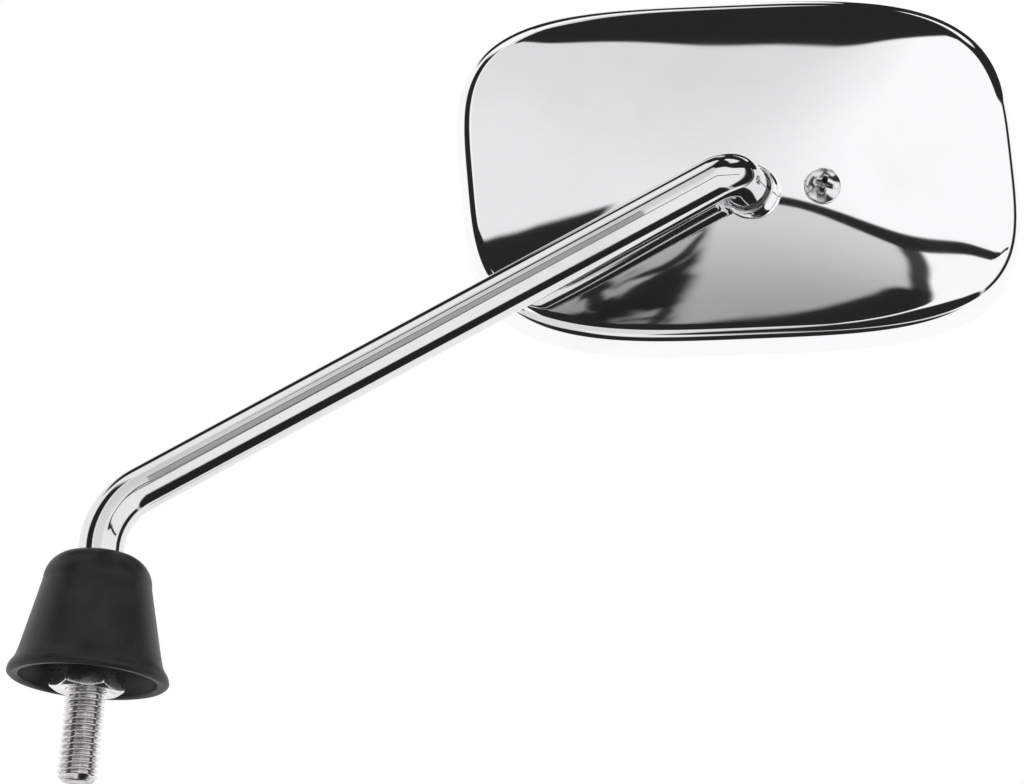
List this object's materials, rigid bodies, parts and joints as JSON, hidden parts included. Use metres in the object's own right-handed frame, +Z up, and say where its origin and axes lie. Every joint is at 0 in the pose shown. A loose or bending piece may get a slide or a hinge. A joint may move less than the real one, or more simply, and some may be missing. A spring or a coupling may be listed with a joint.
{
  "type": "scooter mirror",
  "caption": "Rear-view mirror with a chromed back, a bent rod arm with a threaded stud, a jam nut and a rubber boot, and a clamped ball joint",
  "frame": {"origin": "centre of the jam nut's underside, which seats on the mount, on the axis of the threaded stud", "axes": "+Z up the stud's axis, away from the mount; the glass faces +Y and the domed back -Y; the arm leans towards +X"},
  "size_m": [0.1943, 0.0484, 0.1807],
  "materials": {
    "chromed_steel": "bright chrome plate on steel rod",
    "chromed_shell": "bright chrome plate over moulded plastic, a full mirror finish",
    "zinc_plate": "bright zinc plate",
    "pressed_steel": "dull phosphate",
    "nylon": "natural nylon",
    "boot_rubber": "satin black rubber",
    "channel_rubber": "matte black rubber",
    "backing_board": "grey paint on the back of the glass",
    "mirror_glass": "convex silvered glass"
  },
  "bodies": {
    "stem": {"stem": "chromed_steel"},
    "nut": {"jam_nut": "zinc_plate"},
    "boot": {"boot": "boot_rubber"},
    "front_seat": {"front_seat": "nylon"},
    "rear_seat": {"rear_seat": "nylon"},
    "head": {"shell": "chromed_shell", "clamp_plate": "pressed_steel", "spring_washer": "zinc_plate", "square_nut": "zinc_plate", "glass": "mirror_glass", "backing": "backing_board", "glass_channel": "channel_rubber"},
    "screw": {"clamp_screw": "zinc_plate"}
  },
  "joints": [
    {"name": "nut_spin", "type": "hinge", "parent": "stem", "child": "nut", "pos_m": [0, 0, 0], "axis": [0, 0, 1], "continuous": true},
    {"name": "boot_slide", "type": "slide", "parent": "stem", "child": "boot", "axis": [0, 0, 1], "range_m": [-0.015, 0.002]},
    {"name": "head_roll", "type": "hinge", "parent": "stem", "child": "front_seat", "pos_m": [0.12479, 0.01692, 0.11688], "axis": [0.3903, 0.9193, -0.0516], "range_deg": [-30, 30]},
    {"name": "head_pan", "type": "hinge", "parent": "front_seat", "child": "rear_seat", "pos_m": [0.12479, 0.01692, 0.11688], "axis": [-0.08, 0.0897, 0.9928], "range_deg": [-6, 6]},
    {"name": "head_tilt", "type": "hinge", "parent": "rear_seat", "child": "head", "pos_m": [0.12479, 0.01692, 0.11688], "axis": [0.9172, -0.3833, 0.1085], "range_deg": [-5, 5]},
    {"name": "screw_turn", "type": "hinge", "parent": "head", "child": "screw", "pos_m": [0.13662, 0.01013, 0.11929], "axis": [0.0576, 0.9983, 0], "range_deg": [-180, 180]}
  ]
}
